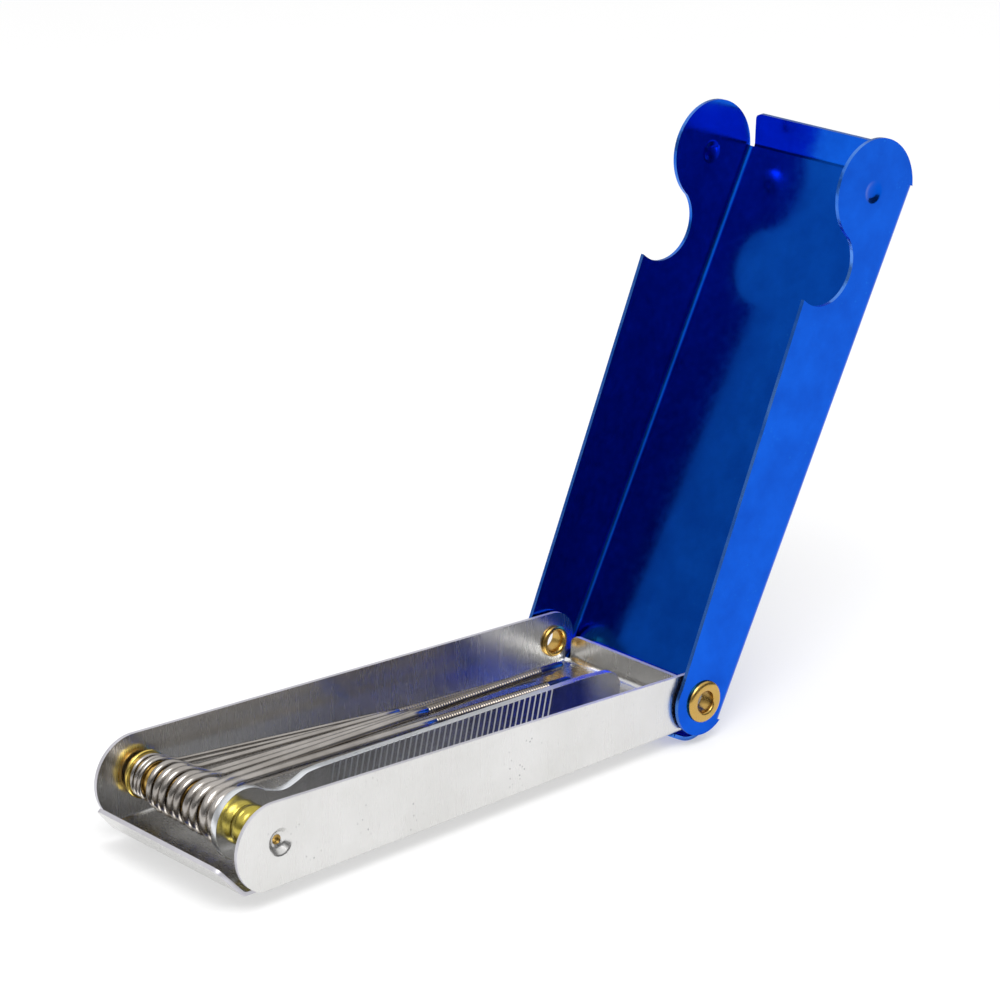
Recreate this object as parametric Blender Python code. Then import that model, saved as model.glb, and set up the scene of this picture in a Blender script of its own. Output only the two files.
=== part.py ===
"""Torch tip-cleaner set: an open folding case with a fan of wire files and one flat file on its pin.

Metres, +Z up, +X from the pin end to the hinge end, +Y from the near wall to the far wall.
The origin is below the middle of the opened set, at the height of the bench it stands on.
Dimensions below are in millimetres, from the underside of the tray, midway between pin and hinge.
"""

import math

import bmesh
import bpy
from mathutils import Matrix, Vector

MM = 0.001
CASE_FRAME = "case_frame"

# Where the tray's own reference point lies from the origin.
CASE_X = -14.4
CASE_Z = 1.97

# Layout: pin axis and hinge axis both run along Y.
PIN_X = -33.0
PIN_Z = 5.8
HINGE_X = 33.0
HINGE_Z = 3.65
SHEET = 0.5
FOLD_OUTER = 0.9
FOLD_INNER = FOLD_OUTER - SHEET
FOLD_STEPS = 4

# Reach of blanks and cutters past the shape that they make
BLANK_SPARE = 5.0
CUT_SPARE = 1.0
OVERLAP = 0.1

# Tray
TRAY_HALF = 13.4
TRAY_INNER = TRAY_HALF - SHEET
TRAY_FRONT_R = 5.4
TRAY_FRONT_X = PIN_X - 0.9
TRAY_REAR_R = 3.75
TRAY_REAR_X = HINGE_X - 0.3
TRAY_WALL_TOP = 12.0
TRAY_FLOOR_FRONT = PIN_X - 4.0
TRAY_FLOOR_REAR = HINGE_X + 1.35
LIP_HALF_BASE = 12.1
LIP_HALF_TOP = 11.4
LIP_ANGLE = 50.0
LIP_LENGTH = 4.3
LIP_BEND = 1.0
FLANGE_HALF = 12.2
FLANGE_HEIGHT = 4.0
FLANGE_CORNER = 1.3
FLANGE_BEND = 1.25

# Dimples that locate the pin between the tray walls
DIMPLE_MOUTH_R = 1.8
DIMPLE_NECK_R = 0.85
DIMPLE_DEPTH = 0.8
DIMPLE_HOLE_R = 0.6
BOSS_BASE_R = 1.95
BOSS_TIP_R = 1.15

# Pin, with dished ends that the dimples reach into, and its two sleeves as lists of (radius, y)
PIN_R = 2.1
PIN_DISH_R = 1.75
PIN_DISH_DEPTH = 0.5
PIN_HALF = 12.55
PIN_FLARE_R = 2.6
PIN_FLARE = 0.35
SLEEVE_BORE_R = PIN_R + 0.02
SLEEVE_NEAR = (
    (2.6, -11.9),
    (2.6, -10.6),
    (2.5, -10.0),
    (2.3, -9.35),
    (2.3, -9.1),
    (2.5, -8.8),
    (2.65, -8.35),
    (2.65, -7.9),
    (2.5, -7.4),
    (2.35, -7.22),
)
SLEEVE_FAR = ((2.7, 11.52), (3.0, 11.62), (3.0, 11.92), (2.7, 12.12))

# Hinge eyelets
EYELET_BARREL_R = 1.65
EYELET_BORE_R = 1.35
EYELET_FLANGE_R = 2.7
EYELET_FLANGE = 0.55
EYELET_ROLL_R = 2.1
EYELET_ROLL = 0.5
TRAY_HOLE_R = 1.67
LID_HOLE_R = 1.71
AXIAL_GAP = 0.03

# Lid, drawn closed and with its plate level, from the hinge axis
LID_GAP = 0.35
LID_INNER = TRAY_HALF + LID_GAP
LID_HALF = LID_INNER + SHEET
LID_OPEN = 114.0
LID_TILT = math.degrees(math.atan(0.0702))
LID_PLATE_IN = 4.0
LID_PLATE_OUT = LID_PLATE_IN + SHEET
LID_PLATE_FRONT = -68.9
LID_PLATE_REAR = 1.6
LID_WALL_END = -9.5
LID_FREE_EDGE = -4.25
LID_FREE_EDGE_REAR = -0.9
EAR_R = 6.75
EAR_CENTRE = (-66.1, 2.55)
NOTCH_R = 5.05
NOTCH_CENTRE = (-55.5, -2.45)
HINGE_EAR_R = 4.4
HINGE_EAR_END = 68.7
TAB_HALF_BASE = 13.0
TAB_HALF_TOP = 12.5
TAB_ANGLE = 33.0
TAB_BEND = 1.4
TAB_LENGTH = 3.9
TAIL_HALF = 12.5
TAIL_BEND = 3.7
TAIL_END = -1.5
TAIL_CORNER = 1.2
LID_DIMPLE_R = 1.15
LID_DIMPLE_TIP_R = 0.6
LID_DIMPLE_DEPTH = 0.3
CORNER_STEPS = 4

# Flat file
FLAT_Y = (-7.15, -6.1)
FLAT_DROP = 1.5
EYE_R = 4.4
LOOP_BORE_R = 2.16
BLADE_TOP = 4.0
BLADE_BOTTOM = -0.8
BLADE_START = 10.0
BLADE_END = 58.2
NECK_TOP = 2.75
NECK_BOTTOM = -2.1
TEETH = 39
TEETH_START = 12.0
TEETH_PITCH = 0.9
TEETH_DEPTH = 0.16
TEETH_WIDTH = 0.72 * TEETH_PITCH
TEETH_RAKE = 0.12
TEETH_SLANT = 12.0

# Round files, from the flat file outwards: wire diameter, middle of the loop, turns, sideways place
# of the shank at the pin, height of the shank above the pin axis, sideways place and height of the tip.
ROUND_FILES = (
    (1.40, -3.85, 2, -2.40, 2.85, 1.21, -1.71),
    (1.25, -0.50, 2, -0.90, 2.70, 2.67, -0.06),
    (1.10, 2.65, 2, 2.00, 2.15, 4.04, -1.13),
    (1.10, 5.40, 2, 4.40, 1.55, 5.30, -1.73),
    (0.95, 7.50, 1, 7.00, 1.45, 6.53, -2.31),
    (0.60, 10.02, 2, 9.60, 1.30, 7.56, -3.64),
    (0.56, 11.20, 1, 10.90, 1.30, 8.33, -3.83),
)
FILE_REACH = 58.0
SERRATION_START = 0.56
SERRATION_END = 0.92
SERRATION_CUT = 0.93
SINGLE_LOOP = 300.0
DOUBLE_LOOP = 510.0
COIL_GAP = 0.06
EXIT_TURN = 26.0
EXIT_REACH = 3.8
EXIT_PULL = 0.35
EXIT_STEPS = 6
TIP_STATIONS = (SERRATION_START, SERRATION_START + 0.012, SERRATION_END, SERRATION_END + 0.012, 0.985, 1.0)
TIP_SIZE = 0.6
TURN_STEPS = 26
WIRE_SIDES = 8

CIRCLE = 48


def material(name, colour, metallic, roughness):
    made = bpy.data.materials.new(name)
    made.use_nodes = True
    shader = made.node_tree.nodes["Principled BSDF"]
    shader.inputs["Base Color"].default_value = (*colour, 1.0)
    shader.inputs["Metallic"].default_value = metallic
    shader.inputs["Roughness"].default_value = roughness
    made.diffuse_color = (*colour, 1.0)
    return made


def follow(child, parent):
    child.parent = parent
    child.matrix_parent_inverse = Matrix.Identity(4)


def add_object(name, mesh_data, surface=None, smooth_angle=None):
    """Makes an object from a bmesh, in metres, with outward faces, placed from the case's reference point."""
    bmesh.ops.recalc_face_normals(mesh_data, faces=mesh_data.faces)
    mesh = bpy.data.meshes.new(name)
    mesh_data.to_mesh(mesh)
    mesh_data.free()
    made = bpy.data.objects.new(name, mesh)
    bpy.context.scene.collection.objects.link(made)
    follow(made, bpy.data.objects[CASE_FRAME])
    if surface is not None:
        mesh.materials.append(surface)
    if smooth_angle is not None:
        mesh.shade_smooth()
        mesh.set_sharp_from_angle(angle=math.radians(smooth_angle))
    return made


def cutter(name, mesh_data):
    made = add_object(name, mesh_data)
    made.hide_render = True
    made.display_type = "WIRE"
    return made


def boolean(target, tool, operation):
    step = target.modifiers.new(tool.name, "BOOLEAN")
    step.operation = operation
    step.solver = "EXACT"
    step.object = tool


def arc(centre, radius, start, end, steps):
    """Points on an arc in degrees, both ends included."""
    points = []
    for i in range(steps + 1):
        angle = math.radians(start + (end - start) * i / steps)
        points.append((centre[0] + radius * math.cos(angle), centre[1] + radius * math.sin(angle)))
    return points


def extruded(corners, shift):
    """A solid swept from a flat outline by a shift, both in millimetres."""
    out = bmesh.new()
    face = out.faces.new([out.verts.new(Vector(corner) * MM) for corner in corners])
    grown = bmesh.ops.extrude_face_region(out, geom=[face])
    moved = [item for item in grown["geom"] if isinstance(item, bmesh.types.BMVert)]
    bmesh.ops.translate(out, verts=moved, vec=Vector(shift) * MM)
    return out


def prism(outline, low, high):
    """A solid whose XZ outline runs from Y = low to Y = high."""
    return extruded([(x, low, z) for x, z in outline], (0, high - low, 0))


def channel(half, base_low, base_high, wall_end, start, end):
    """A U section: a plate between Z base_low and base_high with walls that run to Z wall_end."""
    up = 1 if wall_end > base_high else -1
    outer = base_low if up > 0 else base_high
    corner = (half - FOLD_OUTER, outer + up * FOLD_OUTER)
    section = [(half, wall_end)]
    section += arc(corner, FOLD_OUTER, 0, -90 * up, FOLD_STEPS)
    section += [(-y, z) for y, z in arc(corner, FOLD_OUTER, -90 * up, 0, FOLD_STEPS)]
    section += [(-half, wall_end), (-half + SHEET, wall_end)]
    section += [(-y, z) for y, z in arc(corner, FOLD_INNER, 0, -90 * up, FOLD_STEPS)]
    section += arc(corner, FOLD_INNER, -90 * up, 0, FOLD_STEPS)
    section += [(half - SHEET, wall_end)]
    return extruded([(start, y, z) for y, z in section], (end - start, 0, 0))


def bent_strip(path, widths):
    """A sheet strip along an XZ centre line, with a half width at each point of it."""
    out = bmesh.new()
    rings = []
    for i, (x, z) in enumerate(path):
        before = Vector(path[max(i - 1, 0)])
        after = Vector(path[min(i + 1, len(path) - 1)])
        along = (after - before).normalized()
        normal = Vector((-along.y, along.x)) * SHEET / 2
        half = widths[i]
        corners = [
            (x - normal.x, -half, z - normal.y),
            (x + normal.x, -half, z + normal.y),
            (x + normal.x, half, z + normal.y),
            (x - normal.x, half, z - normal.y),
        ]
        rings.append([out.verts.new(Vector(c) * MM) for c in corners])
    for one, two in zip(rings, rings[1:]):
        for k in range(4):
            out.faces.new((one[k], one[(k + 1) % 4], two[(k + 1) % 4], two[k]))
    out.faces.new(rings[0])
    out.faces.new(rings[-1])
    return out


def turned(profile, closed=False, segments=CIRCLE):
    """A body turned about the Y axis from (radius, y) pairs: a closed ring, or a solid with flat ends."""
    out = bmesh.new()
    rings = []
    for radius, y in profile:
        ring = []
        for i in range(segments):
            angle = 2 * math.pi * i / segments
            ring.append(out.verts.new(Vector((radius * math.cos(angle), y, radius * math.sin(angle))) * MM))
        rings.append(ring)
    pairs = list(zip(rings, rings[1:]))
    if closed:
        pairs.append((rings[-1], rings[0]))
    for one, two in pairs:
        for i in range(segments):
            j = (i + 1) % segments
            out.faces.new((one[i], one[j], two[j], two[i]))
    if not closed:
        out.faces.new(rings[0])
        out.faces.new(rings[-1])
    return out


def place(made, x, z, turn=0.0):
    made.location = (x * MM, 0, z * MM)
    made.rotation_euler = (0, math.radians(turn), 0)


def tapered(steps_before, count, base, top):
    """Half widths for a strip: constant up to the fold, then narrowing evenly to the free end."""
    after = count - steps_before
    widths = [base] * steps_before
    widths += [base + (top - base) * (i + 1) / after for i in range(after)]
    return widths


def with_round_end(path, half, end, corner):
    """Carries a strip's path straight on to the height end, with its two free corners rounded off."""
    way = 1 if end > path[-1][1] else -1
    heights = [end - way * corner]
    widths = [half] * (len(path) + 1)
    for i in range(1, CORNER_STEPS + 1):
        turn = math.radians(90 * i / CORNER_STEPS)
        heights.append(end - way * corner * (1 - math.sin(turn)))
        widths.append(half - corner * (1 - math.cos(turn)))
    return path + [(path[-1][0], z) for z in heights], widths


def build_tray(surface):
    start = TRAY_FRONT_X - TRAY_FRONT_R - BLANK_SPARE
    blank = channel(TRAY_HALF, 0, SHEET, TRAY_WALL_TOP, start, HINGE_X + BLANK_SPARE)
    body = add_object("tray", blank, surface, 35)
    front = (TRAY_FRONT_X, TRAY_FRONT_R)
    rear = (TRAY_REAR_X, TRAY_REAR_R)
    outline = arc(rear, TRAY_REAR_R, -90, 90, 28) + arc(front, TRAY_FRONT_R, 90, 270, 36)
    reach = TRAY_HALF + CUT_SPARE
    boolean(body, cutter("tray_outline", prism(outline, -reach, reach)), "INTERSECT")

    floor_z = SHEET / 2
    bend = (TRAY_FLOOR_FRONT, floor_z + LIP_BEND)
    path = [(PIN_X, floor_z), (TRAY_FLOOR_FRONT + 0.6, floor_z)] + arc(bend, LIP_BEND, 270, 270 - LIP_ANGLE, 6)
    run = math.radians(LIP_ANGLE)
    before = len(path)
    for i in range(1, 4):
        reach = LIP_LENGTH * i / 3
        path.append((path[before - 1][0] - reach * math.cos(run), path[before - 1][1] + reach * math.sin(run)))
    lip = cutter("tray_lip", bent_strip(path, tapered(before, len(path), LIP_HALF_BASE, LIP_HALF_TOP)))
    boolean(body, lip, "UNION")

    bend = (TRAY_FLOOR_REAR, floor_z + FLANGE_BEND)
    path = [(HINGE_X - 4, floor_z)] + arc(bend, FLANGE_BEND, 270, 360, 6)
    path, widths = with_round_end(path, FLANGE_HALF, FLANGE_HEIGHT, FLANGE_CORNER)
    boolean(body, cutter("tray_flange", bent_strip(path, widths)), "UNION")

    for side, sign in (("near", -1), ("far", 1)):
        boss = [(BOSS_BASE_R, TRAY_INNER + OVERLAP), (BOSS_BASE_R, TRAY_INNER)]
        boss += [(BOSS_TIP_R, TRAY_INNER - DIMPLE_DEPTH)]
        hollow = [(DIMPLE_HOLE_R, TRAY_INNER - DIMPLE_DEPTH - CUT_SPARE)]
        hollow += [(DIMPLE_HOLE_R, TRAY_HALF - DIMPLE_DEPTH), (DIMPLE_NECK_R, TRAY_HALF - DIMPLE_DEPTH)]
        hollow += [(DIMPLE_MOUTH_R, TRAY_HALF), (DIMPLE_MOUTH_R, TRAY_HALF + CUT_SPARE)]
        for label, profile, operation in (("boss", boss, "UNION"), ("hollow", hollow, "DIFFERENCE")):
            tool = cutter(f"tray_{label}_{side}", turned([(r, sign * y) for r, y in profile], segments=32))
            place(tool, PIN_X, PIN_Z)
            boolean(body, tool, operation)
        hole = [(TRAY_HOLE_R, sign * (TRAY_INNER - CUT_SPARE)), (TRAY_HOLE_R, sign * (TRAY_HALF + CUT_SPARE))]
        tool = cutter(f"tray_hole_{side}", turned(hole))
        place(tool, HINGE_X, HINGE_Z)
        boolean(body, tool, "DIFFERENCE")
    return body


def level(point):
    """Turns a point of the closed lid, taken from the hinge axis, so that the plate is level."""
    tilt = math.radians(LID_TILT)
    x, z = point
    return (x * math.cos(tilt) - z * math.sin(tilt), x * math.sin(tilt) + z * math.cos(tilt))


def angle_of(centre, point):
    return math.degrees(math.atan2(point[1] - centre[1], point[0] - centre[0]))


def lid_outline():
    """Side view of the lid: front ears, thumb notches, free edge and hinge ears."""
    ear = level(EAR_CENTRE)
    notch = level(NOTCH_CENTRE)
    edge_rear = level((LID_FREE_EDGE_REAR, LID_FREE_EDGE))
    start = math.degrees(math.acos((LID_PLATE_FRONT - ear[0]) / EAR_R))
    apart = math.dist(ear, notch)
    along = (EAR_R**2 - NOTCH_R**2 + apart**2) / (2 * apart)
    half_chord = math.sqrt(max(EAR_R**2 - along**2, 0.0))
    way = ((notch[0] - ear[0]) / apart, (notch[1] - ear[1]) / apart)
    meet = (ear[0] + way[0] * along - way[1] * half_chord, ear[1] + way[1] * along + way[0] * half_chord)
    drop = notch[1] - level((NOTCH_CENTRE[0] + NOTCH_R, LID_FREE_EDGE))[1]
    tip = (notch[0] + math.sqrt(NOTCH_R**2 - drop**2), notch[1] - drop)
    points = [(LID_PLATE_FRONT, LID_PLATE_OUT + 0.4)]
    points += arc(ear, EAR_R, start, 360 + angle_of(ear, meet), 40)
    points += arc(notch, NOTCH_R, angle_of(notch, meet), angle_of(notch, tip), 26)[1:]
    points += arc((0, 0), HINGE_EAR_R, angle_of((0, 0), edge_rear), HINGE_EAR_END, 24)
    points += [(LID_PLATE_REAR, LID_PLATE_OUT + 0.4)]
    return points


def build_lid(surface):
    blank = channel(LID_HALF, LID_PLATE_IN, LID_PLATE_OUT, LID_WALL_END, LID_PLATE_FRONT, LID_PLATE_REAR)
    body = add_object("lid", blank, surface, 35)
    tools = []
    top = LID_PLATE_IN + 0.2
    ends = (
        ("front", LID_PLATE_FRONT - BLANK_SPARE, LID_PLATE_FRONT + 0.02),
        ("rear", LID_PLATE_REAR - 0.02, LID_PLATE_REAR + BLANK_SPARE),
    )
    for side, sign in (("near", -1), ("far", 1)):
        for end, low, high in ends:
            slab = [(low, LID_WALL_END), (high, LID_WALL_END), (high, top), (low, top)]
            name = f"lid_{end}_ear_{side}"
            tools.append((cutter(name, prism(slab, sign * LID_INNER, sign * LID_HALF)), "UNION"))
    reach = LID_HALF + CUT_SPARE
    tools.append((cutter("lid_outline", prism(lid_outline(), -reach, reach)), "INTERSECT"))

    middle = (LID_PLATE_IN + LID_PLATE_OUT) / 2
    bend = (LID_PLATE_FRONT, middle - TAB_BEND)
    path = [(LID_PLATE_FRONT + 4, middle)] + arc(bend, TAB_BEND, 90, 90 + TAB_ANGLE, 5)
    before = len(path)
    run = math.radians(TAB_ANGLE)
    for i in range(1, 4):
        reach = TAB_LENGTH * i / 3
        path.append((path[before - 1][0] - reach * math.cos(run), path[before - 1][1] - reach * math.sin(run)))
    tab = cutter("lid_tab", bent_strip(path, tapered(before, len(path), TAB_HALF_BASE, TAB_HALF_TOP)))
    tools.append((tab, "UNION"))

    bend = (LID_PLATE_REAR, middle - TAIL_BEND)
    path = [(LID_PLATE_REAR - 4, middle)] + arc(bend, TAIL_BEND, 90, 0, 12)
    path, widths = with_round_end(path, TAIL_HALF, TAIL_END, TAIL_CORNER)
    tools.append((cutter("lid_tail", bent_strip(path, widths)), "UNION"))

    snap = level((PIN_X - HINGE_X, PIN_Z - HINGE_Z))
    for side, sign in (("near", -1), ("far", 1)):
        hole = [(LID_HOLE_R, sign * (LID_INNER - CUT_SPARE)), (LID_HOLE_R, sign * (LID_HALF + CUT_SPARE))]
        tools.append((cutter(f"lid_hole_{side}", turned(hole)), "DIFFERENCE"))
        bump_face = LID_INNER - LID_DIMPLE_DEPTH
        bump = [(LID_DIMPLE_R, LID_INNER + OVERLAP), (LID_DIMPLE_R, LID_INNER), (LID_DIMPLE_TIP_R, bump_face)]
        dent = [(LID_DIMPLE_TIP_R, LID_HALF - LID_DIMPLE_DEPTH), (LID_DIMPLE_R, LID_HALF)]
        dent += [(LID_DIMPLE_R, LID_HALF + CUT_SPARE)]
        for label, profile, operation in (("bump", bump, "UNION"), ("dent", dent, "DIFFERENCE")):
            tool = cutter(f"lid_{label}_{side}", turned([(r, sign * y) for r, y in profile], segments=24))
            tool.location = (snap[0] * MM, 0, snap[1] * MM)
            tools.append((tool, operation))
    place(body, HINGE_X, HINGE_Z, LID_OPEN + LID_TILT)
    for tool, operation in tools:
        follow(tool, body)
        boolean(body, tool, operation)
    return body


def build_eyelet(name, sign, surface):
    outside = LID_HALF + AXIAL_GAP
    inside = TRAY_INNER - AXIAL_GAP
    profile = [
        (EYELET_BORE_R + 0.25, outside + EYELET_FLANGE),
        (EYELET_FLANGE_R - 0.45, outside + EYELET_FLANGE),
        (EYELET_FLANGE_R - 0.12, outside + EYELET_FLANGE * 0.7),
        (EYELET_FLANGE_R, outside + EYELET_FLANGE * 0.35),
        (EYELET_FLANGE_R - 0.05, outside),
        (EYELET_BARREL_R, outside),
        (EYELET_BARREL_R, inside),
        (EYELET_ROLL_R - 0.08, inside),
        (EYELET_ROLL_R, inside - EYELET_ROLL * 0.4),
        (EYELET_ROLL_R - 0.15, inside - EYELET_ROLL * 0.85),
        (EYELET_BARREL_R, inside - EYELET_ROLL),
        (EYELET_BORE_R + 0.08, inside - EYELET_ROLL * 0.7),
        (EYELET_BORE_R, inside - EYELET_ROLL * 0.3),
        (EYELET_BORE_R, outside + EYELET_FLANGE * 0.6),
    ]
    made = add_object(name, turned([(r, sign * y) for r, y in profile], closed=True), surface, 40)
    place(made, HINGE_X, HINGE_Z)
    return made


def build_pin(surface):
    end = [
        (PIN_DISH_R, PIN_HALF - PIN_DISH_DEPTH),
        (PIN_DISH_R, PIN_HALF),
        (PIN_FLARE_R, PIN_HALF),
        (PIN_FLARE_R, PIN_HALF - PIN_FLARE * 0.5),
        (PIN_R, PIN_HALF - PIN_FLARE),
    ]
    profile = end + [(r, -y) for r, y in reversed(end)]
    made = add_object("pin", turned(profile), surface, 40)
    place(made, PIN_X, PIN_Z)
    return made


def build_sleeve(name, lumps, surface):
    """A brass sleeve on the pin whose outside follows a list of (radius, y)."""
    profile = [(SLEEVE_BORE_R, lumps[0][1])] + list(lumps) + [(SLEEVE_BORE_R, lumps[-1][1])]
    made = add_object(name, turned(profile, closed=True), surface, 40)
    place(made, PIN_X, PIN_Z)
    return made


def flat_outline():
    """Side view of the flat file from the pin axis: eye, neck and blade with a round tip."""
    dip_x = math.sqrt(EYE_R**2 - NECK_TOP**2)
    top_angle = angle_of((0, 0), (dip_x - 0.7, NECK_TOP + 0.55))
    bottom_x = math.sqrt(EYE_R**2 - NECK_BOTTOM**2)
    tip_r = (BLADE_TOP - BLADE_BOTTOM) / 2
    tip = (BLADE_END - tip_r, (BLADE_TOP + BLADE_BOTTOM) / 2)
    points = arc((0, 0), EYE_R, top_angle, 360 + angle_of((0, 0), (bottom_x, NECK_BOTTOM)), 40)
    points += [(6.2, NECK_BOTTOM + 0.1), (8.6, BLADE_BOTTOM - 0.25), (BLADE_START, BLADE_BOTTOM)]
    points += arc(tip, tip_r, -90, 90, 14)
    points += [(BLADE_START, BLADE_TOP), (8.9, BLADE_TOP - 0.12), (7.9, BLADE_TOP - 0.6)]
    points += [(7.1, NECK_TOP + 0.35), (6.2, NECK_TOP + 0.04), (5.2, NECK_TOP - 0.02), (4.3, NECK_TOP + 0.18)]
    return points


def build_flat_file(surface):
    body = add_object("flat_file", prism(flat_outline(), *FLAT_Y), surface, 35)
    bore = turned([(LOOP_BORE_R, FLAT_Y[0] - CUT_SPARE), (LOOP_BORE_R, FLAT_Y[1] + CUT_SPARE)])
    hole = cutter("flat_file_bore", bore)
    grooves = bmesh.new()
    lean = math.tan(math.radians(TEETH_SLANT))
    low = BLADE_BOTTOM - 0.5
    high = BLADE_TOP + 0.5
    near = FLAT_Y[0]
    for i in range(TEETH):
        x = TEETH_START + i * TEETH_PITCH
        section = ((x, near + TEETH_DEPTH), (x + TEETH_WIDTH, near - 0.2), (x - TEETH_RAKE, near - 0.2))
        ends = []
        for z in (low, high):
            ends.append([grooves.verts.new(Vector((px + z * lean, py, z)) * MM) for px, py in section])
        grooves.faces.new(ends[0])
        grooves.faces.new(ends[1])
        for k in range(3):
            j = (k + 1) % 3
            grooves.faces.new((ends[0][k], ends[0][j], ends[1][j], ends[1][k]))
    place(body, PIN_X, PIN_Z, FLAT_DROP)
    for tool in (hole, cutter("flat_file_grooves", grooves)):
        follow(tool, body)
        boolean(body, tool, "DIFFERENCE")
    return body


def wire_path(diameter, middle, turns, start_y, start_z, tip_y, tip_z):
    """Centre line of a round file from the pin axis: the loop, a bend out of it, and a straight shank."""
    radius = LOOP_BORE_R + diameter / 2 + 0.02
    pitch = diameter + COIL_GAP
    sweep = SINGLE_LOOP if turns == 1 else DOUBLE_LOOP
    slope = (tip_z - start_z) / FILE_REACH
    leave = 90.0 - (radius - start_z) * EXIT_TURN / radius
    steps = round(TURN_STEPS * sweep / 360.0)
    side = 0 if turns == 1 else math.copysign(1, start_y - middle)
    points = []
    for i in range(steps + 1):
        share = i / steps
        angle = math.radians(leave + sweep * (1 - share))
        offset = (share - 0.5) * pitch * sweep / 360.0 * side
        points.append(Vector((radius * math.cos(angle), middle + offset, radius * math.sin(angle))))
    exit_way = Vector((math.sin(math.radians(leave)), 0, -math.cos(math.radians(leave))))
    shank_way = Vector((1, (tip_y - start_y) / FILE_REACH, slope)).normalized()
    last = points[-1]
    join_x = last.x + EXIT_REACH
    join = Vector((join_x, start_y + shank_way.y / shank_way.x * join_x, start_z + slope * join_x))
    pull = (join - last).length * EXIT_PULL
    for i in range(1, EXIT_STEPS + 1):
        t = i / EXIT_STEPS
        points.append(
            (1 - t) ** 3 * last
            + 3 * t * (1 - t) ** 2 * (last + exit_way * pull)
            + 3 * t**2 * (1 - t) * (join - shank_way * pull)
            + t**3 * join
        )
    tip = Vector((FILE_REACH, tip_y, tip_z))
    points += [join + (tip - join) * share for share in TIP_STATIONS]
    return points, len(points) - len(TIP_STATIONS)


def build_round_file(name, wire, surface):
    """A wire swept along its path, slightly thinner where it is serrated and rounded at the tip."""
    diameter = wire[0]
    points, serrated = wire_path(*wire)
    sizes = [1.0] * len(points)
    for k in (serrated + 1, serrated + 2):
        sizes[k] = SERRATION_CUT
    sizes[-1] = TIP_SIZE
    out = bmesh.new()
    rings = []
    side = Vector((0, 1, 0))
    for i, point in enumerate(points):
        way = (points[min(i + 1, len(points) - 1)] - points[max(i - 1, 0)]).normalized()
        across = (side - way * side.dot(way)).normalized()
        up = way.cross(across)
        ring = []
        for k in range(WIRE_SIDES):
            angle = 2 * math.pi * (k + 0.5) / WIRE_SIDES
            reach = diameter / 2 * sizes[i]
            ring.append(out.verts.new((point + (across * math.cos(angle) + up * math.sin(angle)) * reach) * MM))
        rings.append(ring)
    for one, two in zip(rings, rings[1:]):
        for k in range(WIRE_SIDES):
            j = (k + 1) % WIRE_SIDES
            out.faces.new((one[k], one[j], two[j], two[k]))
    out.faces.new(rings[0])
    out.faces.new(rings[-1])
    made = add_object(name, out, surface, 50)
    place(made, PIN_X, PIN_Z)
    return made


def main():
    for old in list(bpy.data.objects):
        bpy.data.objects.remove(old, do_unlink=True)
    case = bpy.data.objects.new(CASE_FRAME, None)
    case.location = (CASE_X * MM, 0, CASE_Z * MM)
    bpy.context.scene.collection.objects.link(case)
    build_tray(material("bare_aluminium", (0.80, 0.80, 0.81), 1.0, 0.32))
    build_lid(material("blue_anodised", (0.01, 0.10, 0.62), 1.0, 0.30))
    for name, sign in (("eyelet_near", -1), ("eyelet_far", 1)):
        build_eyelet(name, sign, material(name, (0.80, 0.58, 0.20), 1.0, 0.28))
    build_pin(material("pin_brass", (0.78, 0.60, 0.24), 1.0, 0.30))
    build_sleeve("sleeve_near", SLEEVE_NEAR, material("sleeve_near_brass", (0.82, 0.66, 0.24), 1.0, 0.25))
    build_sleeve("sleeve_far", SLEEVE_FAR, material("sleeve_far_brass", (0.82, 0.66, 0.24), 1.0, 0.25))
    build_flat_file(material("flat_steel", (0.62, 0.63, 0.66), 1.0, 0.25))
    for i, wire in enumerate(ROUND_FILES):
        shade = 0.52 + 0.01 * i
        name = f"round_file_{i + 1}"
        build_round_file(name, wire, material(f"{name}_steel", (shade, shade * 0.97, shade * 0.93), 1.0, 0.3))


main()
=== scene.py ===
"""The visual model of the tip-cleaner set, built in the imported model's frame."""

import math

import bmesh
import bpy
from mathutils import Matrix, Vector

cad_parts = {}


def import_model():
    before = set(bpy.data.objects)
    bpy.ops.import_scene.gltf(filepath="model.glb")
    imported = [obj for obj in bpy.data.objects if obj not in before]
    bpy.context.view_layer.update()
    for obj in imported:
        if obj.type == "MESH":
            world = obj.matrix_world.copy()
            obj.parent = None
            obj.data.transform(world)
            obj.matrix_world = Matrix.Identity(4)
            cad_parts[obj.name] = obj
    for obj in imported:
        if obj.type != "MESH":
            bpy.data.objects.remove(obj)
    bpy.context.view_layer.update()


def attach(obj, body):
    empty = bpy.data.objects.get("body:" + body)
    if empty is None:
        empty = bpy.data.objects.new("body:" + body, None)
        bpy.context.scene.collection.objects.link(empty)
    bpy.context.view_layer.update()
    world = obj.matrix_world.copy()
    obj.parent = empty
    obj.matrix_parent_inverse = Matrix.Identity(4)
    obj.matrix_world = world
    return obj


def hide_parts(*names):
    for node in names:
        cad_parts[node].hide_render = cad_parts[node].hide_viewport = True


MM = 0.001

# Lengths are in millimetres from the tray's own reference point, which lies here from the origin.
CASE = Vector((-14.4, 0.0, 1.97))
PIN = Vector((-33.0, 0.0, 5.8))
HINGE = Vector((33.0, 0.0, 3.65))
SHEET = 0.5
TRAY_FOLD = 0.9
LID_FOLD = 1.2
FOLD_STEPS = 8
EDGE_BEVEL = 0.07
SMALL_BEVEL = 0.1
CUT_SPARE = 1.0
OVERLAP = 0.1

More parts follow.
